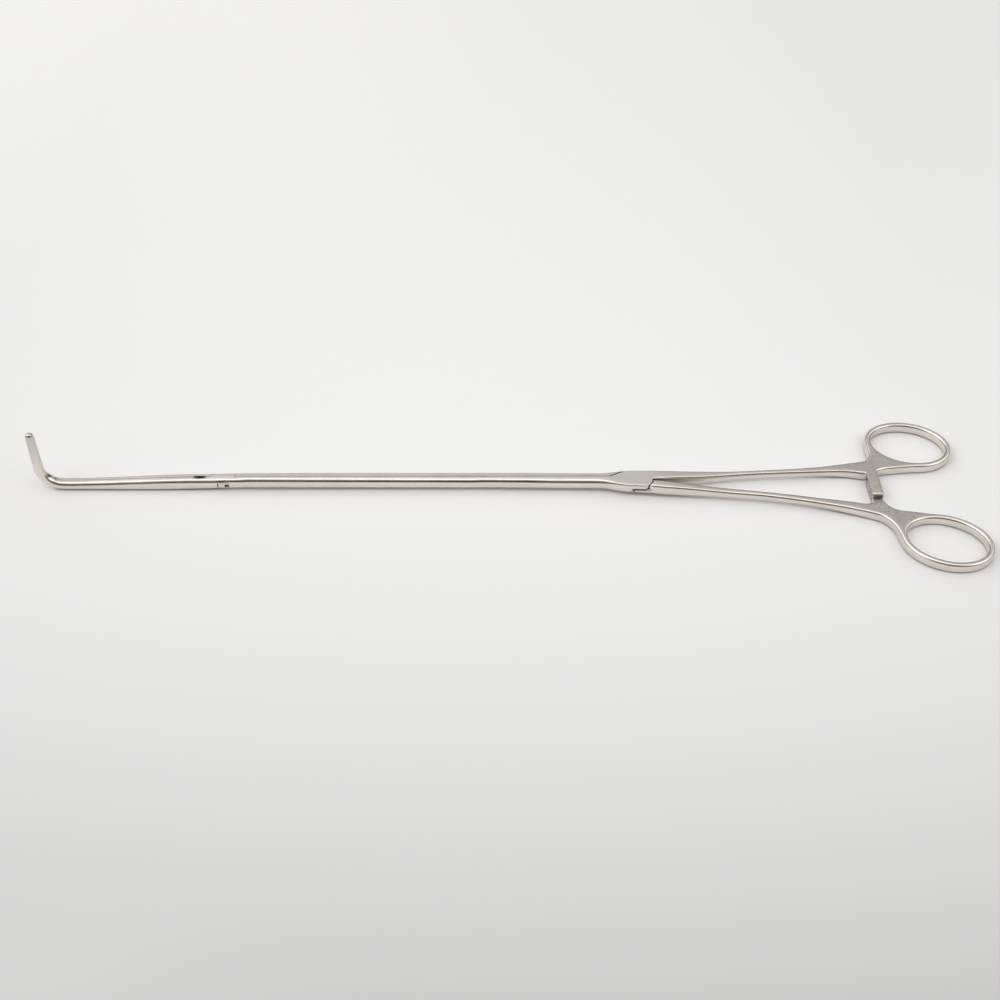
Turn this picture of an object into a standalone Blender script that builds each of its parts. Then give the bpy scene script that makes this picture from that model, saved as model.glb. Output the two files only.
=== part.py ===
"""Long ring-handled grasping forceps with a sliding-bar shaft and a right-angled tip.

The frame piece carries the far ring, the near half of the shaft and the fixed jaw.
The near handle turns on a pin in the frame, pushes or pulls the sliding bar that forms
the far half of the shaft, and the bar turns the moving jaw on a second pin.

Lengths are in millimetres and become metres when a mesh is made. X runs along the shaft
towards the rings, Y away from the viewer, Z up from the table. Places are counted from the
main pivot, and the finished pieces stand about the middle of the whole footprint.
"""
import math

import bmesh
import bpy
from mathutils import Matrix, Vector

MM = 0.001
FOOTPRINT_MIDDLE = (-49.1, -5.35)  # origin of the finished instrument, from the main pivot

# Shaft
PIVOT_SPACING = 149.0     # from the main pivot to the jaw pivot
SEAM_Y = -0.3             # split between the frame half and the sliding bar
SEAM_GAP = 0.12
SHAFT_NEAR_Y = -2.35
SHAFT_FAR_Y = 1.7
SHAFT_BOTTOM = 1.0
SHAFT_TOP = 5.55
NEAR_TOP_RADIUS = 1.85
NEAR_BOTTOM_RADIUS = 1.5
FAR_RADIUS = 0.7
SEAM_RADIUS = 0.06        # broken edge along the seam
STATION_PITCH = 3.0       # between sections where the envelope changes
JOIN_STEP = 0.02          # where two forms of one piece meet, one lies this much inside

# Jaws
JAW_LENGTH = 56.75        # from the jaw pivot to the start of the bend
JAW_NEAR_Y = -2.25
JAW_FAR_Y = 1.1
JAW_HEIGHT = 3.6          # at the start of the bend
JAW_REST_RUN = 26.0       # the jaws lie on the table this far past their pivot
JAW_DROP_RUN = 9.0        # and their top has dropped a little at this place
JAW_DROP = 0.4
TAPER_RUN = 9.0           # the top and bottom start to taper this far before the jaw pivot
FAR_TAPER_RUN = 30.0      # and the far side this far
FAR_TAPER = 0.12
BEND_RADIUS = 9.2         # on the outer side of the bend
BEND_ANGLE = math.radians(94.4)
TIP_LENGTH = 16.2         # straight part past the bend
TIP_THICKNESS = 2.75
TIP_NEAR_Y = -1.6
TIP_FAR_Y = 0.35
TIP_DOME = 1.4            # length of the rounded end
TIP_END_SHARE = 0.1       # flat left at the very end, as a share of the section
JAW_NEAR_TOP_RADIUS = 1.7
JAW_FAR_RADIUS = 0.6
TIP_NEAR_RADIUS = 0.95
TIP_FAR_RADIUS = 0.35
SERRATION_PITCH = 1.2
SERRATION_DEPTH = 0.12
SERRATED_LENGTH = 27.0

# Block at the main joint
BLOCK_NEAR_Y = -5.0
BLOCK_FAR_Y = 2.75
BLOCK_BOTTOM = 1.3
BLOCK_TOP = 5.7
BLOCK_LEFT_X = -21.0
BLOCK_RIGHT_X = 4.9
BLOCK_NEAR_TOP_RADIUS = 0.65
FLARE_X = -60.0           # the near side starts to widen
NEAR_BULGE_X = -16.0      # a little up to here, and more from here
NEAR_BULGE = 0.6
NEAR_FLARE_END_X = -4.0
NEAR_SPREAD = 0.7         # more width where the near arm leaves the block
NEAR_SPREAD_X = 7.0
WAIST_START_X = -50.0     # slight waist of the bar ahead of the block
WAIST_X = -14.5
WAIST_DEPTH = 0.3
FAR_FLARE_END_X = -4.5
BLOCK_FULL_X = -6.0       # the block has its full height from here

# Linkage
BAR_PIN_Y = 0.65
HANDLE_LEVER = 2.5
JAW_LEVER = 2.0
HANDLE_RANGE = math.radians(20.0)
JAW_RANGE = HANDLE_RANGE * HANDLE_LEVER / JAW_LEVER
LAYER_GAP = 0.15
LAP_GAP = 0.3
ROOT_RADIUS = 4.55        # disc of the handle under the frame plate
LAP_RADIUS = 3.45         # rounded edge of the frame plate
LAP_FIRST_ANGLE = math.radians(-80.0)
LAP_LAST_ANGLE = math.radians(4.0)
JAW_ROOT_RADIUS = 2.0
TONGUE_THICKNESS = 1.1
HANDLE_TONGUE_LENGTH = 17.0
JAW_TONGUE_LENGTH = 9.0
PLATE_THICKNESS = 2.15    # frame plate over the handle root
JAW_PLATE_THICKNESS = 1.8
PLATE_OVERLAP = 0.45      # the jaw plate reaches this far over the near side of the seam
JAW_PLATE_REACH = 5.6     # jaw plate to the left of the jaw pivot, at the seam
JAW_PLATE_SLANT = 1.25    # run along X for each unit towards the far side
JAW_PLATE_END = 4.0       # jaw plate to the right of the jaw pivot
JAW_PLATE_GAP = 0.15
RELIEF_DISTANCE = 8.25    # middle of the lens-shaped gap, from the jaw pivot
RELIEF_LENGTH = 6.0
RELIEF_DEPTH = 0.55       # cut into each jaw
SHOULDER_X = -8.0         # middle of the slanting end of the block plate
SHOULDER_SLANT = 8.0
SHOULDER_GAP = 0.05       # left when the bar has travelled
HANDLE_PIN_DIAMETER = 2.0
HANDLE_DRIVE_PIN_DIAMETER = 1.1
JAW_PIN_DIAMETER = 1.1
JAW_DRIVE_PIN_DIAMETER = 0.9
PIN_CHAMFER = 0.12
PIN_FIT = 0.05            # radial play of a pin in the piece that holds it
PIN_PLAY = 0.1            # radial play in the piece that turns on it
PIN_COVER = 0.8           # metal left over a blind pin hole

# Handles
HANDLE_LENGTH = 100.0     # from the main pivot to the middle of the rings, along X
RING_HOLE_LONG = 26.8
RING_HOLE_SHORT = 19.8
RING_WALL = 2.1
RING_HEIGHT = 3.9
FAR_RING_CENTRE = (HANDLE_LENGTH - 0.8, 18.8)
NEAR_RING_CENTRE = (HANDLE_LENGTH + 1.4, -29.3)
FAR_RING_TILT = math.radians(-9.7)
NEAR_RING_TILT = math.radians(-15.5)
EDGE_RADIUS = 0.95
ARM_BOTTOM = 1.3          # lower and upper face in the middle of the arms
ARM_TOP = 4.4

# Ratchet
RATCHET_WIDTH = 3.8
RATCHET_MIDDLE_X = 0.825 * HANDLE_LENGTH
UPPER_BAR_END_Y = -7.75
LOWER_BAR_END_Y = 1.2
UPPER_BAR_ROOT = -1.13    # in half axes of the ring rim, from the ring centre
LOWER_BAR_ROOT = 1.3
RATCHET_GAP = 0.25
RATCHET_PITCH = 1.3
RATCHET_TEETH = 4
RATCHET_TOOTH = 0.45
RATCHET_CHAMFER = 0.75
TOOTH_BACK = 0.15         # steep side of a tooth, as a share of the pitch

# Places worked out from the sizes above
HANDLE_PIVOT = (0.0, BAR_PIN_Y - HANDLE_LEVER * math.cos(HANDLE_RANGE / 2))
HANDLE_DRIVE = (-HANDLE_LEVER * math.sin(HANDLE_RANGE / 2), BAR_PIN_Y)
JAW_PIVOT = (-PIVOT_SPACING, BAR_PIN_Y - JAW_LEVER * math.cos(JAW_RANGE / 2))
JAW_DRIVE = (JAW_PIVOT[0] - JAW_LEVER * math.sin(JAW_RANGE / 2), BAR_PIN_Y)
BAR_TRAVEL = 2 * HANDLE_LEVER * math.sin(HANDLE_RANGE / 2)
TONGUE_RADIUS = BAR_PIN_Y - (SEAM_Y + SEAM_GAP / 2)
BEND_X = JAW_PIVOT[0] - JAW_LENGTH
BEND_LENGTH = BEND_RADIUS * BEND_ANGLE
JAW_ROOT_X = JAW_PIVOT[0] + TAPER_RUN
RIM_HALF_LONG = RING_HOLE_LONG / 2 + RING_WALL
RIM_HALF_SHORT = RING_HOLE_SHORT / 2 + RING_WALL

# Layers of the two joints, from the top down: plate, tongue of the bar, lever
PLATE_UNDERSIDE = BLOCK_TOP - PLATE_THICKNESS
HANDLE_TONGUE_TOP = PLATE_UNDERSIDE - LAYER_GAP
HANDLE_TONGUE_BOTTOM = HANDLE_TONGUE_TOP - TONGUE_THICKNESS
HANDLE_LEVER_TOP = HANDLE_TONGUE_BOTTOM - LAYER_GAP
JAW_PLATE_UNDERSIDE = SHAFT_TOP - JAW_PLATE_THICKNESS
JAW_TONGUE_TOP = JAW_PLATE_UNDERSIDE - LAYER_GAP
JAW_TONGUE_BOTTOM = JAW_TONGUE_TOP - TONGUE_THICKNESS
JAW_LEVER_TOP = JAW_TONGUE_BOTTOM - LAYER_GAP

# Cutters that pass right through reach this far
BIG = 40.0


# Meshes and booleans

def clear_scene():
    for obj in list(bpy.data.objects):
        bpy.data.objects.remove(obj, do_unlink=True)


def make_object(name, bm):
    bmesh.ops.recalc_face_normals(bm, faces=bm.faces)
    mesh = bpy.data.meshes.new(name)
    bm.to_mesh(mesh)
    bm.free()
    obj = bpy.data.objects.new(name, mesh)
    bpy.context.collection.objects.link(obj)
    return obj


def wall(bm, ring_a, ring_b):
    """Band of quads between two closed rings of vertices."""
    for i in range(len(ring_a)):
        j = (i + 1) % len(ring_a)
        bm.faces.new((ring_a[i], ring_a[j], ring_b[j], ring_b[i]))


def loft(name, loops):
    """Closed solid through loops of points that all have the same count."""
    bm = bmesh.new()
    rings = [[bm.verts.new(Vector(p) * MM) for p in loop] for loop in loops]
    for ring_a, ring_b in zip(rings, rings[1:]):
        wall(bm, ring_a, ring_b)
    bm.faces.new(rings[0])
    bm.faces.new(rings[-1])
    return make_object(name, bm)


def prism(name, outline, bottom, top):
    return loft(name, [[(x, y, z) for x, y in outline] for z in (bottom, top)])


def boolean(target, other, operation):
    """Apply an exact Boolean to the target and remove the other object."""
    modifier = target.modifiers.new("boolean", "BOOLEAN")
    modifier.operation = operation
    modifier.solver = "EXACT"
    modifier.object = other
    bpy.context.view_layer.update()
    depsgraph = bpy.context.evaluated_depsgraph_get()
    result = bpy.data.meshes.new_from_object(target.evaluated_get(depsgraph))
    target.modifiers.clear()
    target.data = result
    bpy.data.objects.remove(other, do_unlink=True)


def add(target, other):
    boolean(target, other, "UNION")


def cut(target, other):
    boolean(target, other, "DIFFERENCE")


def keep(target, other):
    boolean(target, other, "INTERSECT")


def drill(target, centre, radius, bottom, top):
    cut(target, prism("drill", arc(centre, radius, 0, 2 * math.pi, 40)[:-1], bottom, top))


# Curves in plan

def arc(centre, radius, start, end, steps):
    points = []
    for i in range(steps + 1):
        angle = start + (end - start) * i / steps
        points.append((centre[0] + radius * math.cos(angle), centre[1] + radius * math.sin(angle)))
    return points


def ellipse(centre, half_long, half_short, tilt, start, end, steps):
    """Points on an ellipse that is tilted about its centre, from one angle to another."""
    flat = [(x * half_long, y * half_short) for x, y in arc((0, 0), 1, start, end, steps)]
    return [(centre[0] + x, centre[1] + y) for x, y in turned(flat, (0, 0), tilt)]


def turned(outline, centre, angle):
    c = math.cos(angle)
    s = math.sin(angle)
    return [(centre[0] + (x - centre[0]) * c - (y - centre[1]) * s,
             centre[1] + (x - centre[0]) * s + (y - centre[1]) * c) for x, y in outline]


def through(before, points, after, steps=4):
    """Points on a Catmull-Rom curve, whose ends aim at the points before and after it."""
    padded = [before] + points + [after]
    curve = []
    for p0, p1, p2, p3 in zip(padded, padded[1:], padded[2:], padded[3:]):
        for i in range(steps):
            t = i / steps
            curve.append(tuple(
                0.5 * (2 * b + (c - a) * t + (2 * a - 5 * b + 4 * c - d) * t * t
                       + (3 * b - a - 3 * c + d) * t ** 3)
                for a, b, c, d in zip(p0, p1, p2, p3)))
    curve.append(points[-1])
    return curve


def inset(outline, distance):
    """Move each point of a counterclockwise outline inwards along its mitre."""
    moved = []
    count = len(outline)
    for i, point in enumerate(outline):
        before = Vector(outline[i - 1])
        here = Vector(point)
        after = Vector(outline[(i + 1) % count])
        normal_in = Vector((before.y - here.y, here.x - before.x)).normalized()
        normal_out = Vector((here.y - after.y, after.x - here.x)).normalized()
        mitre = (normal_in + normal_out).normalized()
        moved.append(tuple(here + mitre * distance / max(mitre.dot(normal_in), 0.5)))
    return moved


def ease(x, knots):
    """Smooth value at x between (position, value) knots in rising order."""
    if x <= knots[0][0]:
        return knots[0][1]
    for (x0, v0), (x1, v1) in zip(knots, knots[1:]):
        if x <= x1:
            t = (x - x0) / (x1 - x0)
            return v0 + (v1 - v0) * t * t * (3 - 2 * t)
    return knots[-1][1]


# Envelope of the shaft, the block and the jaws

def near_y(x):
    return ease(x, [(BEND_X, JAW_NEAR_Y), (JAW_PIVOT[0], SHAFT_NEAR_Y), (FLARE_X, SHAFT_NEAR_Y),
                    (NEAR_BULGE_X, SHAFT_NEAR_Y - NEAR_BULGE),
                    (NEAR_FLARE_END_X, BLOCK_NEAR_Y), (NEAR_SPREAD_X, BLOCK_NEAR_Y - NEAR_SPREAD)])


def far_y(x):
    return ease(x, [(BEND_X, JAW_FAR_Y), (JAW_PIVOT[0], SHAFT_FAR_Y - FAR_TAPER),
                    (JAW_PIVOT[0] + FAR_TAPER_RUN, SHAFT_FAR_Y), (WAIST_START_X, SHAFT_FAR_Y),
                    (WAIST_X, SHAFT_FAR_Y - WAIST_DEPTH), (FAR_FLARE_END_X, BLOCK_FAR_Y)])


def bottom_z(x):
    return ease(x, [(JAW_PIVOT[0] - JAW_REST_RUN, 0.0), (JAW_ROOT_X, SHAFT_BOTTOM),
                    (FLARE_X, SHAFT_BOTTOM), (BLOCK_FULL_X, BLOCK_BOTTOM)])


def top_z(x):
    return ease(x, [(BEND_X, JAW_HEIGHT), (JAW_PIVOT[0] - JAW_DROP_RUN, SHAFT_TOP - JAW_DROP),
                    (JAW_ROOT_X, SHAFT_TOP), (FLARE_X, SHAFT_TOP), (BLOCK_FULL_X, BLOCK_TOP)])


def near_top_radius(x):
    return ease(x, [(BEND_X, JAW_NEAR_TOP_RADIUS), (JAW_PIVOT[0], NEAR_TOP_RADIUS),
                    (NEAR_BULGE_X, NEAR_TOP_RADIUS), (BLOCK_FULL_X, BLOCK_NEAR_TOP_RADIUS)])


def rounded_section(y0, y1, z0, z1, corners):
    """Rectangle in Y and Z whose corners, from the near bottom one round, have (radius, steps)."""
    places = [(y0, z0, 1, 1), (y1, z0, -1, 1), (y1, z1, -1, -1), (y0, z1, 1, -1)]
    points = []
    for number, ((y, z, side_y, side_z), (radius, steps)) in enumerate(zip(places, corners)):
        start = math.pi + number * math.pi / 2
        centre = (y + side_y * radius, z + side_z * radius)
        points += arc(centre, radius, start, start + math.pi / 2, steps)
    return points


def split_section(y0, y1, z0, z1, radii, side, bite=0.0, size=1.0):
    """Section of the near half, the far half or the whole, with a bite off the seam face.

    A size under 1 shrinks the half towards its seam face.
    """
    corners = [(radius * size, 4) for radius in radii]
    seam_corner = (SEAM_RADIUS * size, 1)
    if side == "near":
        face = SEAM_Y - SEAM_GAP / 2
        y0 = face + (y0 - face) * size
        y1 = face - bite
        corners[1] = corners[2] = seam_corner
    if side == "far":
        face = SEAM_Y + SEAM_GAP / 2
        y0 = face + bite
        y1 = face + (y1 - face) * size
        corners[0] = corners[3] = seam_corner
    return rounded_section(y0, y1, z0, z1, corners)


def straight_loops(x0, x1, side, anchor, step=0.0):
    """Sections from x0 to x1, with inner ones at a fixed pitch from the anchor.

    With a step the sections lie inside the envelope by that much.
    """
    first = math.floor((x0 - anchor) / STATION_PITCH + 0.01) + 1
    last = math.ceil((x1 - anchor) / STATION_PITCH - 0.01) - 1
    places = [x0] + [anchor + i * STATION_PITCH for i in range(first, last + 1)] + [x1]
    loops = []
    for x in places:
        radii = [NEAR_BOTTOM_RADIUS, FAR_RADIUS, FAR_RADIUS, near_top_radius(x)]
        section = split_section(near_y(x) + step, far_y(x) - step, bottom_z(x) + step, top_z(x) - step,
                                radii, side)
        loops.append([(x, y, z) for y, z in section])
    return loops


def jaw_section(distance, side, bite, size=1.0):
    """Section at a distance past the start of the bend, measured on its outer side."""
    share = distance / (BEND_LENGTH + TIP_LENGTH)
    thickness = JAW_HEIGHT + (TIP_THICKNESS - JAW_HEIGHT) * share
    y0 = JAW_NEAR_Y + (TIP_NEAR_Y - JAW_NEAR_Y) * share
    y1 = JAW_FAR_Y + (TIP_FAR_Y - JAW_FAR_Y) * share
    z0 = thickness / 2 * (1 - size)
    z1 = thickness / 2 * (1 + size)
    far_radius = JAW_FAR_RADIUS + (TIP_FAR_RADIUS - JAW_FAR_RADIUS) * share
    bottom_radius = NEAR_BOTTOM_RADIUS + (TIP_NEAR_RADIUS - NEAR_BOTTOM_RADIUS) * share
    top_radius = JAW_NEAR_TOP_RADIUS + (TIP_NEAR_RADIUS - JAW_NEAR_TOP_RADIUS) * share
    radii = [bottom_radius, far_radius, far_radius, top_radius]
    angle = min(distance / BEND_RADIUS, BEND_ANGLE)
    past = max(0.0, distance - BEND_LENGTH)
    points = []
    for y, height in split_section(y0, y1, z0, z1, radii, side, bite, size):
        radius = BEND_RADIUS - height
        x = BEND_X - radius * math.sin(angle) - past * math.cos(angle)
        z = BEND_RADIUS - radius * math.cos(angle) + past * math.sin(angle)
        points.append((x, y, z))
    return points


def jaw_loops(side):
    """Sections from the tip back to the start of the bend, with serrations on the seam."""
    total = BEND_LENGTH + TIP_LENGTH
    loops = []
    dome_steps = 3
    for i in range(dome_steps):
        angle = math.pi / 2 * (1 - i / dome_steps)
        size = TIP_END_SHARE + (1 - TIP_END_SHARE) * math.cos(angle)
        loops.append(jaw_section(total - TIP_DOME * (1 - math.sin(angle)), side, 0.0, size))
    teeth = int((SERRATED_LENGTH - TIP_DOME) / SERRATION_PITCH)
    for i in range(2 * teeth + 1):
        distance = total - TIP_DOME - i * SERRATION_PITCH / 2
        loops.append(jaw_section(distance, side, SERRATION_DEPTH * (i % 2)))
    plain = total - TIP_DOME - teeth * SERRATION_PITCH
    plain_steps = 4
    for i in range(1, plain_steps):
        loops.append(jaw_section(plain * (1 - i / plain_steps), side, 0.0))
    return loops


# Handles

def arm_bottom(x):
    share = x / HANDLE_LENGTH
    return ease(share, [(0.04, BLOCK_BOTTOM + JOIN_STEP), (0.34, ARM_BOTTOM), (0.58, ARM_BOTTOM),
                        (0.8, 0.0)])


def arm_top(x):
    share = x / HANDLE_LENGTH
    return ease(share, [(0.04, BLOCK_TOP - JOIN_STEP), (0.36, ARM_TOP), (0.78, RING_HEIGHT)])


def arm_points(ring_centre, places):
    """Points from (share of the handle's length, offset from the line to the ring)."""
    return [(share * HANDLE_LENGTH, share * ring_centre[1] + offset) for share, offset in places]


def web_points(ring_centre, places):
    """Points given in half axes of the ring's rim, from its centre."""
    return [(ring_centre[0] + u * RIM_HALF_LONG, ring_centre[1] + v * RIM_HALF_SHORT)
            for u, v in places]


def ring_rim(centre, tilt, start, end):
    return ellipse(centre, RIM_HALF_LONG, RIM_HALF_SHORT, tilt,
                   math.radians(start), math.radians(end), 40)


def ring_hole(centre, tilt):
    return ellipse(centre, RING_HOLE_LONG / 2, RING_HOLE_SHORT / 2, tilt, 0, 2 * math.pi, 56)[:-1]


def handle_outline(near_edge, rim, far_edge):
    """Closed outline whose two edges run smoothly into the rim of the ring."""
    near_curve = through(near_edge[0], near_edge + [rim[0]], rim[1])
    far_curve = through(rim[-2], [rim[-1]] + far_edge, far_edge[-1])
    return near_curve[:-1] + rim + far_curve[1:]


def rounded_plate(name, outline, hole):
    """Plate with rounded rims and one hole, whose thickness follows the arm along X."""
    quarter = arc((EDGE_RADIUS, EDGE_RADIUS), EDGE_RADIUS, -math.pi / 2, -math.pi, 3)
    levels = [(inwards, rise, False) for inwards, rise in quarter]
    levels += [(inwards, rise, True) for inwards, rise in reversed(quarter)]
    bm = bmesh.new()
    edges = {0: [], len(levels) - 1: []}
    for line, sign in ((outline, 1), (hole, -1)):
        rings = []
        for inwards, rise, is_top in levels:
            ring = []
            for x, y in inset(line, sign * inwards):
                z = arm_top(x) - rise if is_top else arm_bottom(x) + rise
                ring.append(bm.verts.new(Vector((x, y, z)) * MM))
            rings.append(ring)
        for ring_a, ring_b in zip(rings, rings[1:]):
            wall(bm, ring_a, ring_b)
        for level in edges:
            ring = rings[level]
            edges[level] += [bm.edges.get((a, b)) for a, b in zip(ring, ring[1:] + ring[:1])]
    for level in edges:
        bmesh.ops.triangle_fill(bm, use_beauty=True, edges=edges[level])
    return make_object(name, bm)


def far_handle_plate():
    near_edge = arm_points(FAR_RING_CENTRE, [
        (0.01, -1.8), (0.14, -3.3), (0.213, -3.95), (0.32, -4.6), (0.428, -5.65),
        (0.537, -7.0), (0.646, -8.35), (0.73, -9.7), (0.78, -11.25)])
    near_edge += web_points(FAR_RING_CENTRE, [(-1.16, -1.32), (-0.99, -1.3), (-0.8, -1.13), (-0.32, -1.045)])
    rim = ring_rim(FAR_RING_CENTRE, FAR_RING_TILT, -82.0, 182.0)
    far_edge = web_points(FAR_RING_CENTRE, [
        (-1.005, -0.14), (-1.01, -0.45), (-1.08, -0.66), (-1.23, -0.77), (-1.5, -0.835)])
    far_edge += arm_points(FAR_RING_CENTRE, [
        (0.646, -5.45), (0.537, -4.7), (0.428, -3.55), (0.32, -2.25), (0.213, -0.8),
        (0.14, 0.3), (0.01, 2.55)])
    outline = handle_outline(near_edge, rim, far_edge)
    return rounded_plate("far_handle", outline, ring_hole(FAR_RING_CENTRE, FAR_RING_TILT))


def near_handle_plate():
    near_edge = arm_points(NEAR_RING_CENTRE, [
        (0.015, -4.35), (0.065, -3.8), (0.135, -2.25), (0.204, -0.7), (0.308, 1.45),
        (0.412, 3.45), (0.515, 4.85), (0.616, 5.85), (0.718, 6.45)])
    near_edge += web_points(NEAR_RING_CENTRE, [(-1.46, 1.045), (-1.25, 0.915), (-1.11, 0.72), (-1.03, 0.45)])
    rim = ring_rim(NEAR_RING_CENTRE, NEAR_RING_TILT, 196.0, 468.0)
    far_edge = web_points(NEAR_RING_CENTRE, [
        (-0.44, 1.1), (-0.86, 1.2), (-1.03, 1.345), (-1.16, 1.56), (-1.355, 1.5), (-1.57, 1.455)])
    far_edge += arm_points(NEAR_RING_CENTRE, [
        (0.718, 10.25), (0.616, 8.75), (0.515, 7.4), (0.412, 5.75), (0.308, 4.0),
        (0.204, 2.05), (0.135, 1.0), (0.065, -0.1), (0.015, -1.35)])
    outline = handle_outline(near_edge, rim, far_edge)
    return rounded_plate("near_handle", outline, ring_hole(NEAR_RING_CENTRE, NEAR_RING_TILT))


# Ratchet

def ratchet_bar(name, end_y, root_y, plain_z, toothed_z):
    """Bar across the handles, with sawteeth towards its free end on one face."""
    run = 1 if root_y > end_y else -1
    rise = 1 if toothed_z > plain_z else -1
    base = toothed_z - rise * RATCHET_TOOTH
    profile = [(end_y, plain_z + rise * RATCHET_CHAMFER), (end_y + run * RATCHET_CHAMFER, plain_z),
               (root_y, plain_z), (root_y, toothed_z),
               (end_y + run * RATCHET_PITCH * RATCHET_TEETH, toothed_z)]
    for i in range(RATCHET_TEETH, 0, -1):
        profile.append((end_y + run * RATCHET_PITCH * (i - TOOTH_BACK), base))
        profile.append((end_y + run * RATCHET_PITCH * (i - 1), toothed_z))
    profile.append((end_y, base))
    sides = (RATCHET_MIDDLE_X - RATCHET_WIDTH / 2, RATCHET_MIDDLE_X + RATCHET_WIDTH / 2)
    return loft(name, [[(x, y, z) for y, z in profile] for x in sides])


def upper_ratchet_bar():
    """Toothed bar of the frame handle, above the one of the near handle."""
    root_y = FAR_RING_CENTRE[1] + UPPER_BAR_ROOT * RIM_HALF_SHORT
    toothed_z = (RING_HEIGHT + RATCHET_GAP) / 2
    return ratchet_bar("upper_bar", UPPER_BAR_END_Y, root_y, RING_HEIGHT - JOIN_STEP, toothed_z)


def lower_ratchet_bar():
    """Toothed bar of the near handle, under the one of the frame handle."""
    root_y = NEAR_RING_CENTRE[1] + LOWER_BAR_ROOT * RIM_HALF_SHORT
    toothed_z = (RING_HEIGHT - RATCHET_GAP) / 2
    return ratchet_bar("lower_bar", LOWER_BAR_END_Y, root_y, JOIN_STEP, toothed_z)


# Shapes that two pieces share

def tongue_outline(pin, side, margin, length):
    """Rounded tongue of the bar about a drive pin, running off to the given side."""
    radius = TONGUE_RADIUS + margin
    start = side * math.pi / 2
    outline = arc(pin, radius, start, start + math.pi, 16)
    end_x = pin[0] + side * length
    return outline + [(end_x, outline[-1][1]), (end_x, outline[0][1])]


def clear_tongue(target, pin, side, swing, floor):
    """Cut the room that the bar's tongue sweeps, seen from the piece that turns."""
    for share in (0.0, 0.5, 1.0):
        outline = tongue_outline(pin, side, LAYER_GAP, HANDLE_TONGUE_LENGTH)
        cut(target, prism("sweep", turned(outline, pin, swing * share), floor, BIG))


def shoulder_outline(offset):
    """Plan of all that lies to the right of the slanting end of the block plate."""
    middle = SHOULDER_X - offset
    near = SEAM_Y - PLATE_OVERLAP
    far = BLOCK_FAR_Y + PLATE_OVERLAP
    return [(middle - SHOULDER_SLANT / 2, near), (BIG, near), (BIG, far), (middle + SHOULDER_SLANT / 2, far)]


def jaw_plate_outline(gap):
    """Plan of the frame plate over the jaw root, from the seam to past the far side."""
    left = JAW_PIVOT[0] - JAW_PLATE_REACH - gap
    right = JAW_PIVOT[0] + JAW_PLATE_END
    near = SEAM_Y - PLATE_OVERLAP
    far = SHAFT_FAR_Y + PLATE_OVERLAP
    return [(left, near), (right, near), (right, far), (left + JAW_PLATE_SLANT * (far - near), far)]


def relieve_jaws(target):
    """Lens-shaped relief of the meeting faces in front of the jaw pivot."""
    middle = JAW_PIVOT[0] - RELIEF_DISTANCE
    radius = (RELIEF_LENGTH ** 2 / 4 + RELIEF_DEPTH ** 2) / (2 * RELIEF_DEPTH)
    reach = math.asin(RELIEF_LENGTH / 2 / radius)
    outline = []
    for side in (-1, 1):
        centre = (middle, SEAM_Y - side * (radius - RELIEF_DEPTH))
        outline += arc(centre, radius, side * math.pi / 2 - reach, side * math.pi / 2 + reach, 8)
    cut(target, prism("relief", outline, -BIG, BIG))


# Pieces

def build_frame():
    """Far handle, block, near half of the shaft and fixed jaw in one forging."""
    loops = jaw_loops("near")
    loops += straight_loops(BEND_X, JAW_ROOT_X, "near", JAW_PIVOT[0])
    loops += straight_loops(FLARE_X, BLOCK_RIGHT_X, "near", 0.0)
    frame = loft("frame", loops)
    block = loft("block", straight_loops(BLOCK_LEFT_X, BLOCK_RIGHT_X, "whole", 0.0, JOIN_STEP))
    keep(block, prism("plate", shoulder_outline(0.0), PLATE_UNDERSIDE, BIG))
    add(frame, block)
    half = 3 * STATION_PITCH
    loops = straight_loops(JAW_PIVOT[0] - half, JAW_PIVOT[0] + half, "whole", JAW_PIVOT[0], JOIN_STEP)
    jaw_block = loft("jaw_block", loops)
    keep(jaw_block, prism("jaw_plate", jaw_plate_outline(0.0), JAW_PLATE_UNDERSIDE, BIG))
    add(frame, jaw_block)
    add(frame, far_handle_plate())
    add(frame, upper_ratchet_bar())
    drill(frame, HANDLE_PIVOT, ROOT_RADIUS + LAP_GAP, -BIG, PLATE_UNDERSIDE)
    lap = arc(HANDLE_PIVOT, LAP_RADIUS, LAP_FIRST_ANGLE, LAP_LAST_ANGLE, 12)
    right = BLOCK_RIGHT_X + 1.0
    lap += [(right, lap[-1][1]), (right, -BIG), (lap[0][0], -BIG)]
    cut(frame, prism("lap", lap, -BIG, BIG))
    drill(frame, JAW_PIVOT, JAW_ROOT_RADIUS + LAP_GAP, -BIG, JAW_PLATE_UNDERSIDE)
    drill(frame, HANDLE_PIVOT, HANDLE_PIN_DIAMETER / 2 + PIN_FIT, -BIG, BLOCK_TOP - PIN_COVER)
    drill(frame, JAW_PIVOT, JAW_PIN_DIAMETER / 2 + PIN_FIT, -BIG, SHAFT_TOP - PIN_COVER)
    relieve_jaws(frame)
    return frame


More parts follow.
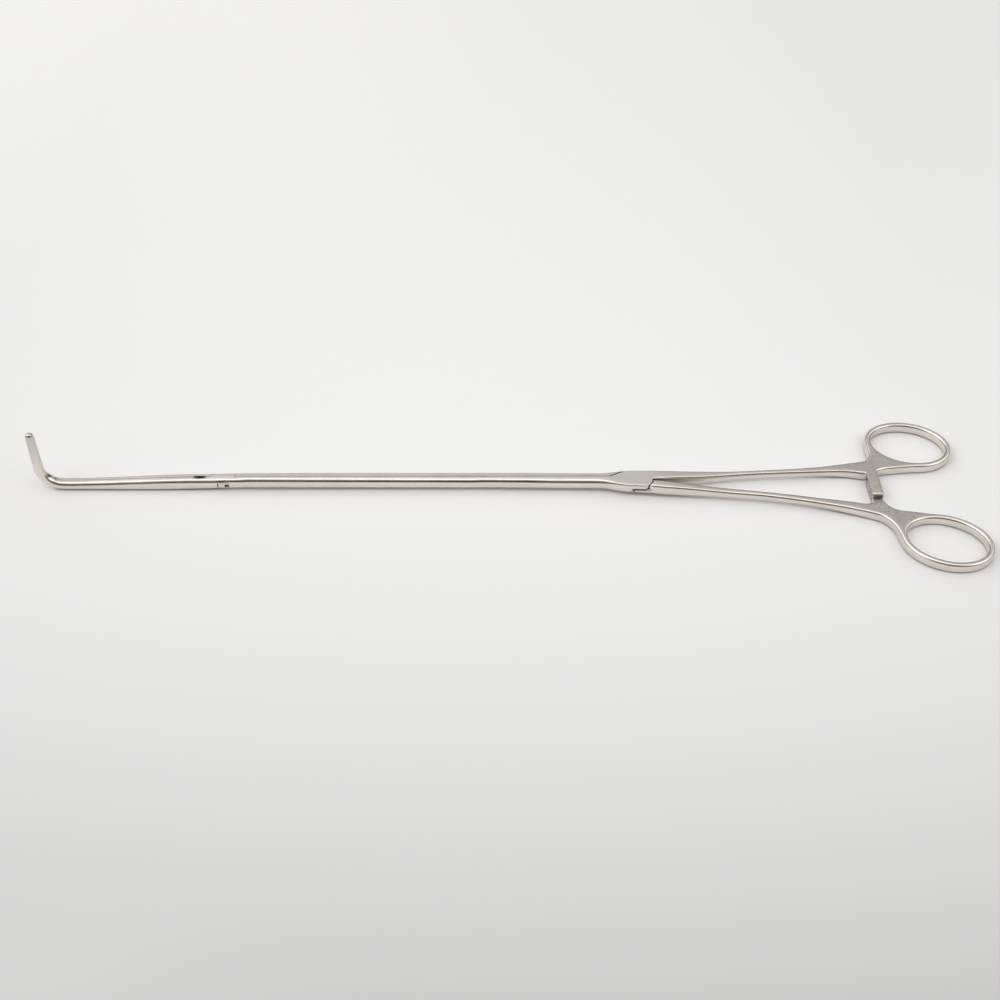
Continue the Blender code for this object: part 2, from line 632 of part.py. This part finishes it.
def build_handle():
    """Near handle with its root disc and lever under the frame plate."""
    handle = near_handle_plate()
    root = loft("root", straight_loops(-2 * STATION_PITCH, 2 * STATION_PITCH, "whole", 0.0))
    disc = arc(HANDLE_PIVOT, ROOT_RADIUS, 0, 2 * math.pi, 56)[:-1]
    keep(root, prism("root_disc", disc, -BIG, HANDLE_TONGUE_TOP))
    add(handle, root)
    drill(handle, HANDLE_PIVOT, LAP_RADIUS + LAP_GAP, HANDLE_TONGUE_TOP, BIG)
    add(handle, lower_ratchet_bar())
    clear_tongue(handle, HANDLE_DRIVE, -1, HANDLE_RANGE, HANDLE_LEVER_TOP)
    drill(handle, HANDLE_PIVOT, HANDLE_PIN_DIAMETER / 2 + PIN_PLAY, -BIG, BIG)
    drill(handle, HANDLE_DRIVE, HANDLE_DRIVE_PIN_DIAMETER / 2 + PIN_FIT, -BIG, BIG)
    return handle


def build_bar():
    """Far half of the shaft, with a tongue at each end for its drive pin."""
    left = JAW_PIVOT[0] + JAW_PLATE_END + LAYER_GAP
    loops = straight_loops(left, JAW_PIVOT[0] + FAR_TAPER_RUN, "far", JAW_PIVOT[0])
    loops += straight_loops(WAIST_START_X, HANDLE_DRIVE[0], "far", 0.0)
    bar = loft("bar", loops)
    cut(bar, prism("shoulder", shoulder_outline(BAR_TRAVEL + SHOULDER_GAP), -BIG, BIG))
    handle_tongue = tongue_outline(HANDLE_DRIVE, -1, 0.0, HANDLE_TONGUE_LENGTH)
    add(bar, prism("tongue", handle_tongue, HANDLE_TONGUE_BOTTOM, HANDLE_TONGUE_TOP))
    jaw_tongue = tongue_outline(JAW_DRIVE, 1, 0.0, JAW_TONGUE_LENGTH)
    add(bar, prism("tongue", jaw_tongue, JAW_TONGUE_BOTTOM, JAW_TONGUE_TOP))
    drill(bar, HANDLE_DRIVE, HANDLE_DRIVE_PIN_DIAMETER / 2 + PIN_PLAY, -BIG, BIG)
    drill(bar, JAW_DRIVE, JAW_DRIVE_PIN_DIAMETER / 2 + PIN_PLAY, -BIG, BIG)
    return bar


def build_jaw():
    """Far jaw with its root disc and lever under the frame plate."""
    straight = straight_loops(BEND_X, JAW_DRIVE[0] + TONGUE_RADIUS, "far", JAW_PIVOT[0])
    jaw = loft("jaw", jaw_loops("far") + straight)
    half = 2 * STATION_PITCH
    loops = straight_loops(JAW_PIVOT[0] - half, JAW_PIVOT[0] + half, "whole", JAW_PIVOT[0], JOIN_STEP)
    root = loft("root", loops)
    disc = arc(JAW_PIVOT, JAW_ROOT_RADIUS, 0, 2 * math.pi, 40)[:-1]
    keep(root, prism("root_disc", disc, -BIG, JAW_TONGUE_TOP))
    add(jaw, root)
    cut(jaw, prism("plate", jaw_plate_outline(JAW_PLATE_GAP), JAW_TONGUE_TOP, BIG))
    clear_tongue(jaw, JAW_DRIVE, 1, JAW_RANGE, JAW_LEVER_TOP)
    drill(jaw, JAW_PIVOT, JAW_PIN_DIAMETER / 2 + PIN_PLAY, -BIG, BIG)
    drill(jaw, JAW_DRIVE, JAW_DRIVE_PIN_DIAMETER / 2 + PIN_FIT, -BIG, BIG)
    relieve_jaws(jaw)
    return jaw


def build_pin(centre, diameter, bottom, top):
    """Plain pin with a small chamfer at both ends."""
    loops = []
    for smaller, z in ((PIN_CHAMFER, bottom), (0.0, bottom + PIN_CHAMFER), (0.0, top - PIN_CHAMFER),
                       (PIN_CHAMFER, top)):
        circle = arc(centre, diameter / 2 - smaller, 0, 2 * math.pi, 28)[:-1]
        loops.append([(x, y, z) for x, y in circle])
    return loft("pin", loops)


# Materials and finish

def steel(name, colour, roughness):
    material = bpy.data.materials.new(name)
    material.use_nodes = True
    shader = material.node_tree.nodes["Principled BSDF"]
    shader.inputs["Base Color"].default_value = (*colour, 1.0)
    shader.inputs["Metallic"].default_value = 1.0
    shader.inputs["Roughness"].default_value = roughness
    return material


def finish(obj, name, joint, material):
    """Name the object, put its origin on its joint axis and shade it smooth."""
    obj.name = name
    obj.data.name = name
    obj.data.transform(Matrix.Translation(Vector((-joint[0], -joint[1], 0.0)) * MM))
    obj.location = Vector((joint[0] - FOOTPRINT_MIDDLE[0], joint[1] - FOOTPRINT_MIDDLE[1], 0.0)) * MM
    obj.data.materials.clear()
    obj.data.materials.append(material)
    obj.data.shade_smooth()
    obj.data.set_sharp_from_angle(angle=math.radians(32.0))


def main():
    clear_scene()
    satin = steel("satin_stainless_steel", (0.66, 0.64, 0.61), 0.3)
    ground = steel("ground_pin_steel", (0.6, 0.58, 0.56), 0.25)
    finish(build_frame(), "main_frame", (0.0, 0.0), satin)
    finish(build_handle(), "moving_handle", HANDLE_PIVOT, satin)
    finish(build_bar(), "sliding_bar", HANDLE_DRIVE, satin)
    finish(build_jaw(), "moving_jaw", JAW_PIVOT, satin)
    block_hole_top = BLOCK_TOP - PIN_COVER - PIN_FIT
    shaft_hole_top = SHAFT_TOP - PIN_COVER - PIN_FIT
    pin = build_pin(HANDLE_PIVOT, HANDLE_PIN_DIAMETER, BLOCK_BOTTOM, block_hole_top)
    finish(pin, "handle_pivot_pin", HANDLE_PIVOT, ground)
    pin = build_pin(HANDLE_DRIVE, HANDLE_DRIVE_PIN_DIAMETER, BLOCK_BOTTOM, PLATE_UNDERSIDE - PIN_FIT)
    finish(pin, "handle_drive_pin", HANDLE_DRIVE, ground)
    pin = build_pin(JAW_PIVOT, JAW_PIN_DIAMETER, SHAFT_BOTTOM, shaft_hole_top)
    finish(pin, "jaw_pivot_pin", JAW_PIVOT, ground)
    pin = build_pin(JAW_DRIVE, JAW_DRIVE_PIN_DIAMETER, SHAFT_BOTTOM, JAW_PLATE_UNDERSIDE - PIN_FIT)
    finish(pin, "jaw_drive_pin", JAW_DRIVE, ground)


main()
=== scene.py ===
import math

import bpy
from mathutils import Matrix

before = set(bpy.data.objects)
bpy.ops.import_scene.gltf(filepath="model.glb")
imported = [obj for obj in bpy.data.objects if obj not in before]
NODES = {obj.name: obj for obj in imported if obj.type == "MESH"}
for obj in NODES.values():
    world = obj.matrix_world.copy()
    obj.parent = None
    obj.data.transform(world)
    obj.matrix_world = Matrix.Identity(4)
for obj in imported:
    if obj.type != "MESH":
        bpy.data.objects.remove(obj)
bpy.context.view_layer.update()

# Lengths are in metres. A pair is a range: between its two numbers, one state turns into another.
FALLING = (1.0, 0.0)

# The camera stands in front of the instrument and looks down at it.
CAMERA_PLACE = (-0.00148, -0.30211, 0.30073)
CAMERA_TILT = math.radians(45.0)
CAMERA_LENS = 43.2
CAMERA_SENSOR = 36.0
CAMERA_CLIP = (0.01, 50.0)

# Soft box: long, overhead, and off towards the viewer by its lean.
BOX_DISTANCE = 1.0
BOX_LEAN = math.radians(19.0)
BOX_SIZE = (3.2, 0.42)
BOX_RADIANCE = 1.12

# Room: grey behind, brighter overhead and far to both sides, dimmer to the right, and dark along
# the horizon and on the viewer's side. Its ranges are components of the direction.
ROOM_BACK = 0.72
ROOM_HORIZON = 0.22             # share that is left at the horizon
HORIZON_Z = (0.15, 0.55)
ROOM_RIGHT = 0.66               # share that is left to the right
RIGHT_X = (0.08, 0.30)
ROOM_TOP = 1.15                 # times as bright overhead
TOP_Z = (0.80, 0.96)
ROOM_SIDES = 2.45               # times as bright far to both sides
SIDES_X = (0.38, 0.62)
SIDES_Z = (0.15, 0.50)
ROOM_FRONT = 0.085
FRONT_Y = (-0.90, -0.48)
FRONT_TINT = (1.0, 0.66, 0.42, 1.0)   # wood and cloth on the viewer's side
WHITE = (1.0, 1.0, 1.0, 1.0)
BACKGROUND = (0.9, 0.9, 0.9, 1.0)     # what the camera sees past the table

# Table: its tone falls with the square of the distance to the front and to the sides, rises evenly
# to the back, and is a little higher on the left, both at the back and in front.
# This tone is painted light and shade: the fall-off of the light over the table is painted into its
# colour.
TABLE_SIZE = 12.0
TABLE_ROUGHNESS = 0.6
TABLE_SPECULAR = 0.2
TABLE_TONE = 0.93
TABLE_FRONT_FALL = 5.6
TABLE_FRONT_START = 0.06        # the fall begins at this Y
TABLE_FRONT_REACH = 0.25        # and ends this far before it
TABLE_SIDE_FALL = 1.3
TABLE_MIDDLE_X = -0.012
TABLE_SIDE_REACH = 0.2
TABLE_BACK_RISE = 0.063
TABLE_BACK_Y = (0.05, 0.50)
TABLE_CORNER_RISE = 0.12
TABLE_CORNER_X = (-0.30, 0.05)
TABLE_CORNER_Y = (0.0, 0.45)
TABLE_NEAR_RISE = 0.07
TABLE_NEAR_X = (-0.13, -0.03)
TABLE_NEAR_Y = (-0.19, -0.14)

# Steel: colour and roughness, and how the finish changes along the instrument.
STEEL = (0.765, 0.722, 0.664)
STEEL_ROUGHNESS = 0.20
PIN_STEEL = (0.60, 0.58, 0.56)
PIN_ROUGHNESS = 0.22
ARM_X = (0.050, 0.060)          # the forged arms begin
WEB_X = (0.108, 0.122)          # the blasted webs and ratchet bars begin
TIP_Z = (0.007, 0.022)          # painted shade: the tip darkens from here to here, standing in for its darker reflection
TIP_PAINTED_SHADE = 0.14

# Which way a face looks: ranges of its normal's X (to the right), Y (away) and Z (up).
FLAT_NORMAL_Z = (0.95, 0.998)
NEAR_NORMAL_Y = (-0.6, -0.3)
UPRIGHT_NORMAL_Y = (-0.95, -0.85)
LEFT_NORMAL_X = (-0.75, -0.35)

# Noise as (scale, detail, roughness, stretch), the part of its values that is used, and what that
# part does to the tone, to the roughness and, as (height, strength), to the surface.
CLOUD = (70.0, 4.0, 0.6, (1.0, 1.0, 1.0))
BRUSHED = (900.0, 3.0, 0.6, (0.05, 1.0, 1.0))
GRAIN = (2000.0, 3.0, 0.6, (1.0, 1.0, 1.0))
NOISE_SPAN = (0.3, 0.7)
GRAIN_SPAN = (0.40, 0.60)
CLOUD_TONE = (0.965, 1.035)
BRUSHED_TONE = (-0.03, 0.03)
GRAIN_TONE = (-0.17, 0.08)      # on the blasted faces only
BLASTED_FALL = 0.13
CLOUD_ROUGHNESS = (-0.02, 0.03)
BRUSHED_ROUGHNESS = (-0.02, 0.02)
FLAT_ROUGHNESS = 0.10
BLASTED_ROUGHNESS = 0.10
GRAIN_BUMP = (0.00001, 0.6)
BRUSHED_BUMP = (0.000005, 0.5)

# Edges: which of them stay sharp, and where their shading is softened.
WELD_DISTANCE = 0.000002
CREASE = math.radians(32.0)
NORMAL_WEIGHT = 80
EDGE_SOFTNESS = 0.0009
SHAFT_EDGE_Y = (0.0044, 0.0049)   # softened before this, besides the arms,
JAW_JOINT_X = (-0.1040, -0.0950)  # but not here
SAMPLES = 8                       # of the softened edges and of the narrow gaps

# Painted shade in the narrow gaps, from the occlusion within GAP_REACH. Along the shaft's seam most
# of it is taken off.
GAP_REACH = 0.0013
GAP_SPAN = (0.1, 0.6)           # of the occlusion within that reach
GAP_TONE = 0.08
SEAM_SHADE_CUT = 0.9
SEAM_SHADE_CUT_X = (-0.095, 0.044)

# Painted shade on the joints' dark lines, standing in for the shade inside gaps that are modelled
# finer than the real ones, and how softly it ends.
JOINT_PAINTED_SHADE = 0.95
LAP_SEAM_X = (0.0460, 0.0512)   # between the frame plate and the handle's root
LAP_SEAM_Z = (0.003175, 0.003775)
LAP_END_X = (0.0459, 0.0461)    # where that line turns down
LAP_END_Z = (0.002275, 0.003475)
JAW_SPOT_X = (-0.0992, -0.0984)   # the open corner of the jaw's joint
JAW_SPOT_Z = (0.0022, 0.0031)
# Painted shade on the ratchet bar's end face, which sits in a shaded recess, and in the roots of
# its teeth.
RATCHET_PAINTED_SHADE = 0.8
RATCHET_END_X = (0.1305, 0.1365)
RATCHET_END_Y = (-0.0034, -0.0016)
RATCHET_SIDE_X = (0.1265, 0.1330)
RATCHET_SIDE_Y = (-0.0030, 0.0110)
RATCHET_PITCH = 0.0013
TOOTH_ROOT = (0.0001, 0.0005)
FINE = 0.0002
SOFT = 0.0003
WIDE = 0.0005
ZONE = 0.001

# A Mix node has its own sockets for each kind of data: the places of A, B and the result.
MIX_PLACES = {"FLOAT": (2, 3, 0), "VECTOR": (4, 5, 1), "RGBA": (6, 7, 2)}


def feed(tree, value, socket):
    """Sets a number or a colour on the socket, or links another node's output to it."""
    if isinstance(value, bpy.types.NodeSocket):
        tree.links.new(value, socket)
    else:
        socket.default_value = value


def math_node(tree, operation, *values):
    made = tree.nodes.new("ShaderNodeMath")
    made.operation = operation
    for value, socket in zip(values, made.inputs):
        feed(tree, value, socket)
    return made.outputs[0]


def total(tree, first, *others):
    for other in others:
        first = math_node(tree, "ADD", first, other)
    return first


def product(tree, first, *others):
    for other in others:
        first = math_node(tree, "MULTIPLY", first, other)
    return first


def less(tree, value, taken):
    return math_node(tree, "SUBTRACT", value, taken)


def span(tree, value, ends, to=(0.0, 1.0), smooth=True):
    """The value between its two ends, mapped to the two numbers of to and held outside them."""
    made = tree.nodes.new("ShaderNodeMapRange")
    made.interpolation_type = "SMOOTHSTEP" if smooth else "LINEAR"
    made.clamp = True
    feed(tree, value, made.inputs["Value"])
    for name, number in zip(("From Min", "From Max", "To Min", "To Max"), ends + to):
        made.inputs[name].default_value = number
    return made.outputs["Result"]


def band(tree, value, ends, soft):
    """1 between the ends, falling to 0 within soft outside them."""
    low, high = ends
    rising = span(tree, value, (low - soft, low))
    return product(tree, rising, span(tree, value, (high, high + soft), FALLING))


def mix(tree, kind, factor, a, b):
    place_a, place_b, place_result = MIX_PLACES[kind]
    made = tree.nodes.new("ShaderNodeMix")
    made.data_type = kind
    feed(tree, factor, made.inputs["Factor"])
    feed(tree, a, made.inputs[place_a])
    feed(tree, b, made.inputs[place_b])
    return made.outputs[place_result]


def axes(tree, vector):
    made = tree.nodes.new("ShaderNodeSeparateXYZ")
    feed(tree, vector, made.inputs["Vector"])
    return made.outputs["X"], made.outputs["Y"], made.outputs["Z"]


def noise(tree, place, scale, detail, roughness, stretch):
    mapping = tree.nodes.new("ShaderNodeMapping")
    feed(tree, stretch, mapping.inputs["Scale"])
    feed(tree, place, mapping.inputs["Vector"])
    made = tree.nodes.new("ShaderNodeTexNoise")
    feed(tree, scale, made.inputs["Scale"])
    feed(tree, detail, made.inputs["Detail"])
    feed(tree, roughness, made.inputs["Roughness"])
    feed(tree, mapping.outputs["Vector"], made.inputs["Vector"])
    return made.outputs["Fac"]


def bump(tree, height, distance, strength, normal):
    made = tree.nodes.new("ShaderNodeBump")
    feed(tree, distance, made.inputs["Distance"])
    feed(tree, strength, made.inputs["Strength"])
    feed(tree, height, made.inputs["Height"])
    feed(tree, normal, made.inputs["Normal"])
    return made.outputs["Normal"]


def occlusion(tree, reach):
    made = tree.nodes.new("ShaderNodeAmbientOcclusion")
    made.samples = SAMPLES
    feed(tree, reach, made.inputs["Distance"])
    return made.outputs["AO"]


def rounded_normal(tree, radius):
    made = tree.nodes.new("ShaderNodeBevel")
    made.samples = SAMPLES
    feed(tree, radius, made.inputs["Radius"])
    return made.outputs["Normal"]


def tinted(tree, colour, tone):
    made = tree.nodes.new("ShaderNodeVectorMath")
    made.operation = "SCALE"
    feed(tree, colour, made.inputs[0])
    feed(tree, tone, made.inputs["Scale"])
    return made.outputs[0]


def painted_shade(tree, place, normal):
    """How much each painted shade takes off the tone: gaps, the tip, joints, the ratchet's end and
    teeth.
    """
    x, y, z = axes(tree, place)
    sideways, ahead, _ = axes(tree, normal)
    near = span(tree, ahead, NEAR_NORMAL_Y, FALLING)
    upright = span(tree, ahead, UPRIGHT_NORMAL_Y, FALLING)
    left = span(tree, sideways, LEFT_NORMAL_X, FALLING)

    # painted shade: narrow gaps are darkened by their occlusion, less so along the shaft's seam
    narrow = span(tree, occlusion(tree, GAP_REACH), GAP_SPAN, FALLING)
    shade_cut = product(tree, band(tree, x, SEAM_SHADE_CUT_X, ZONE), SEAM_SHADE_CUT - GAP_TONE)
    gaps = product(tree, narrow, less(tree, 1.0 - GAP_TONE, shade_cut))
    tip = span(tree, z, TIP_Z, (0.0, TIP_PAINTED_SHADE))

    # painted shade: dark lines along the lap seam and its turn, and a dark spot at the jaw joint's
    # open corner
    seam = product(tree, band(tree, z, LAP_SEAM_Z, FINE), band(tree, x, LAP_SEAM_X, FINE), near)
    turn = product(tree, band(tree, z, LAP_END_Z, FINE), band(tree, x, LAP_END_X, SOFT), near)
    spot = product(tree, band(tree, x, JAW_SPOT_X, SOFT), band(tree, z, JAW_SPOT_Z, SOFT), near)
    # painted shade on the ratchet bar's end face and in its tooth roots
    end = product(tree, band(tree, x, RATCHET_END_X, WIDE), band(tree, y, RATCHET_END_Y, SOFT),
                  upright)
    roots = span(tree, math_node(tree, "PINGPONG", y, RATCHET_PITCH / 2.0), TOOTH_ROOT)
    teeth = product(tree, roots, band(tree, x, RATCHET_SIDE_X, WIDE),
                    band(tree, y, RATCHET_SIDE_Y, WIDE), left)
    return ([gaps, tip] + [product(tree, mark, JOINT_PAINTED_SHADE) for mark in (seam, turn, spot)]
            + [product(tree, mark, RATCHET_PAINTED_SHADE) for mark in (end, teeth)])


def steel(name, colour, roughness):
    """Satin steel: drawn lines, blasted webs, softened edges, and painted shade in gaps, joints and
    on the tip.
    """
    material = bpy.data.materials.new(name)
    material.use_nodes = True
    tree = material.node_tree
    tree.nodes.clear()
    output = tree.nodes.new("ShaderNodeOutputMaterial")
    shader = tree.nodes.new("ShaderNodeBsdfPrincipled")
    shader.inputs["Metallic"].default_value = 1.0
    feed(tree, shader.outputs["BSDF"], output.inputs["Surface"])

    place = tree.nodes.new("ShaderNodeTexCoord").outputs["Object"]
    normal = tree.nodes.new("ShaderNodeNewGeometry").outputs["Normal"]
    x, y, _ = axes(tree, place)
    flat = span(tree, axes(tree, normal)[2], FLAT_NORMAL_Z)
    blasted = product(tree, span(tree, x, WEB_X), flat)
    cloud = noise(tree, place, *CLOUD)
    brushed = noise(tree, place, *BRUSHED)
    grain = noise(tree, place, *GRAIN)

    grainy = product(tree, span(tree, grain, GRAIN_SPAN, GRAIN_TONE), blasted)
    tone = total(tree, span(tree, cloud, NOISE_SPAN, CLOUD_TONE),
                 span(tree, brushed, NOISE_SPAN, BRUSHED_TONE), grainy)
    tone = less(tree, tone, product(tree, blasted, BLASTED_FALL))
    for fall in painted_shade(tree, place, normal):
        tone = product(tree, tone, less(tree, 1.0, fall))
    feed(tree, tinted(tree, colour, tone), shader.inputs["Base Color"])

    rough = total(tree, roughness, span(tree, cloud, NOISE_SPAN, CLOUD_ROUGHNESS),
                  span(tree, brushed, NOISE_SPAN, BRUSHED_ROUGHNESS),
                  product(tree, flat, FLAT_ROUGHNESS), product(tree, blasted, BLASTED_ROUGHNESS))
    feed(tree, rough, shader.inputs["Roughness"])

    soft = math_node(tree, "MAXIMUM", span(tree, x, ARM_X), span(tree, y, SHAFT_EDGE_Y, FALLING))
    soft = product(tree, soft, less(tree, 1.0, band(tree, x, JAW_JOINT_X, ZONE)))
    surface = mix(tree, "VECTOR", soft, normal, rounded_normal(tree, EDGE_SOFTNESS))
    height, strength = GRAIN_BUMP
    surface = bump(tree, grain, height, product(tree, blasted, strength), surface)
    surface = bump(tree, brushed, *BRUSHED_BUMP, surface)
    feed(tree, surface, shader.inputs["Normal"])
    return material


def crease_group():
    """Smooth faces, with a hard edge wherever two faces meet at more than CREASE."""
    tree = bpy.data.node_groups.new("creases", "GeometryNodeTree")
    tree.interface.new_socket("Geometry", in_out="INPUT", socket_type="NodeSocketGeometry")
    tree.interface.new_socket("Geometry", in_out="OUTPUT", socket_type="NodeSocketGeometry")
    source = tree.nodes.new("NodeGroupInput")
    target = tree.nodes.new("NodeGroupOutput")
    faces = tree.nodes.new("GeometryNodeSetShadeSmooth")
    faces.domain = "FACE"
    edges = tree.nodes.new("GeometryNodeSetShadeSmooth")
    edges.domain = "EDGE"
    edges.inputs["Shade Smooth"].default_value = False
    angle = tree.nodes.new("GeometryNodeInputMeshEdgeAngle")
    steep = tree.nodes.new("FunctionNodeCompare")
    steep.data_type = "FLOAT"
    steep.operation = "GREATER_THAN"
    steep.inputs["B"].default_value = CREASE
    feed(tree, source.outputs["Geometry"], faces.inputs["Geometry"])
    feed(tree, faces.outputs["Geometry"], edges.inputs["Geometry"])
    feed(tree, angle.outputs["Unsigned Angle"], steep.inputs["A"])
    feed(tree, steep.outputs["Result"], edges.inputs["Selection"])
    feed(tree, edges.outputs["Geometry"], target.inputs["Geometry"])
    return tree


def dress(name, material, creases):
    """Gives a CAD node its finish and smooth shading, and clears its stored normals for that."""
    piece = NODES[name]
    for attribute in ("custom_normal", "sharp_face", "sharp_edge"):
        found = piece.data.attributes.get(attribute)
        if found is not None:
            piece.data.attributes.remove(found)
    piece.data.materials.clear()
    piece.data.materials.append(material)
    weld = piece.modifiers.new("weld", "WELD")
    weld.merge_threshold = WELD_DISTANCE
    shading = piece.modifiers.new("creases", "NODES")
    shading.node_group = creases
    normals = piece.modifiers.new("normals", "WEIGHTED_NORMAL")
    normals.keep_sharp = True
    normals.weight = NORMAL_WEIGHT


def table_material():
    material = bpy.data.materials.new("pale table")
    material.use_nodes = True
    tree = material.node_tree
    shader = tree.nodes["Principled BSDF"]
    shader.inputs["Roughness"].default_value = TABLE_ROUGHNESS
    shader.inputs["Specular IOR Level"].default_value = TABLE_SPECULAR
    x, y, _ = axes(tree, tree.nodes.new("ShaderNodeTexCoord").outputs["Object"])
    # painted light and shade: the table's tone falls off to the front and sides and rises to the
    # back and left
    ahead = math_node(tree, "MAXIMUM", less(tree, TABLE_FRONT_START, y), 0.0)
    ahead = math_node(tree, "MINIMUM", ahead, TABLE_FRONT_REACH)
    aside = math_node(tree, "ABSOLUTE", less(tree, x, TABLE_MIDDLE_X))
    aside = math_node(tree, "MINIMUM", aside, TABLE_SIDE_REACH)
    behind = span(tree, y, TABLE_BACK_Y, (0.0, TABLE_BACK_RISE), smooth=False)
    corner = product(tree, span(tree, y, TABLE_CORNER_Y, smooth=False),
                     span(tree, x, TABLE_CORNER_X, FALLING), TABLE_CORNER_RISE)
    near = product(tree, span(tree, y, TABLE_NEAR_Y, FALLING),
                   span(tree, x, TABLE_NEAR_X, FALLING), TABLE_NEAR_RISE)
    tone = less(tree, TABLE_TONE, product(tree, ahead, ahead, TABLE_FRONT_FALL))
    tone = total(tree, tone, behind)
    tone = product(tree, tone, less(tree, 1.0, product(tree, aside, aside, TABLE_SIDE_FALL)))
    tone = total(tree, tone, corner, near)
    colour = tree.nodes.new("ShaderNodeCombineColor")
    for channel in ("Red", "Green", "Blue"):
        feed(tree, tone, colour.inputs[channel])
    feed(tree, colour.outputs["Color"], shader.inputs["Base Color"])
    return material


def make_table():
    half = TABLE_SIZE / 2.0
    corners = [(-half, -half, 0.0), (half, -half, 0.0), (half, half, 0.0), (-half, half, 0.0)]
    mesh = bpy.data.meshes.new("table")
    mesh.from_pydata(corners, [], [(0, 1, 2, 3)])
    mesh.materials.append(table_material())
    table = bpy.data.objects.new("table", mesh)
    bpy.context.scene.collection.objects.link(table)


def make_room():
    """World light by direction, and pale where the camera sees past the table."""
    world = bpy.data.worlds.new("room")
    bpy.context.scene.world = world
    world.use_nodes = True
    tree = world.node_tree
    tree.nodes.clear()
    output = tree.nodes.new("ShaderNodeOutputWorld")
    x, y, z = axes(tree, tree.nodes.new("ShaderNodeTexCoord").outputs["Generated"])
    back = product(tree, span(tree, z, HORIZON_Z, (ROOM_HORIZON, 1.0)),
                   span(tree, x, RIGHT_X, (1.0, ROOM_RIGHT)), ROOM_BACK,
                   span(tree, z, TOP_Z, (1.0, ROOM_TOP)))
    front = span(tree, y, FRONT_Y, FALLING)
    aside = span(tree, math_node(tree, "ABSOLUTE", x), SIDES_X)
    high = span(tree, z, SIDES_Z)
    sides = total(tree, 1.0, product(tree, aside, high, ROOM_SIDES - 1.0))
    strength = product(tree, mix(tree, "FLOAT", front, back, ROOM_FRONT), sides)
    lit = tree.nodes.new("ShaderNodeBackground")
    feed(tree, mix(tree, "RGBA", front, WHITE, FRONT_TINT), lit.inputs["Color"])
    feed(tree, strength, lit.inputs["Strength"])
    seen = tree.nodes.new("ShaderNodeBackground")
    seen.inputs["Color"].default_value = BACKGROUND
    path = tree.nodes.new("ShaderNodeLightPath")
    choice = tree.nodes.new("ShaderNodeMixShader")
    feed(tree, path.outputs["Is Camera Ray"], choice.inputs["Fac"])
    feed(tree, lit.outputs["Background"], choice.inputs[1])
    feed(tree, seen.outputs["Background"], choice.inputs[2])
    feed(tree, choice.outputs["Shader"], output.inputs["Surface"])


def make_lamp():
    data = bpy.data.lights.new("soft box", "AREA")
    data.shape = "RECTANGLE"
    data.size, data.size_y = BOX_SIZE
    data.energy = BOX_RADIANCE * math.pi * BOX_SIZE[0] * BOX_SIZE[1]
    lamp = bpy.data.objects.new("soft box", data)
    lamp.location = (0.0, -BOX_DISTANCE * math.sin(BOX_LEAN), BOX_DISTANCE * math.cos(BOX_LEAN))
    lamp.rotation_euler = (-BOX_LEAN, 0.0, 0.0)
    bpy.context.scene.collection.objects.link(lamp)


def make_camera():
    data = bpy.data.cameras.new("camera")
    data.sensor_width = CAMERA_SENSOR
    data.lens = CAMERA_LENS
    data.clip_start, data.clip_end = CAMERA_CLIP
    camera = bpy.data.objects.new("camera", data)
    camera.location = CAMERA_PLACE
    camera.rotation_euler = (CAMERA_TILT, 0.0, 0.0)
    bpy.context.scene.collection.objects.link(camera)
    bpy.context.scene.camera = camera


bpy.context.scene.view_settings.view_transform = "Standard"
make_camera()
make_table()
make_room()
make_lamp()

satin = steel("satin steel", STEEL, STEEL_ROUGHNESS)
ground = steel("ground steel", PIN_STEEL, PIN_ROUGHNESS)
creases = crease_group()
for name in NODES:
    dress(name, ground if name.endswith("pin") else satin, creases)
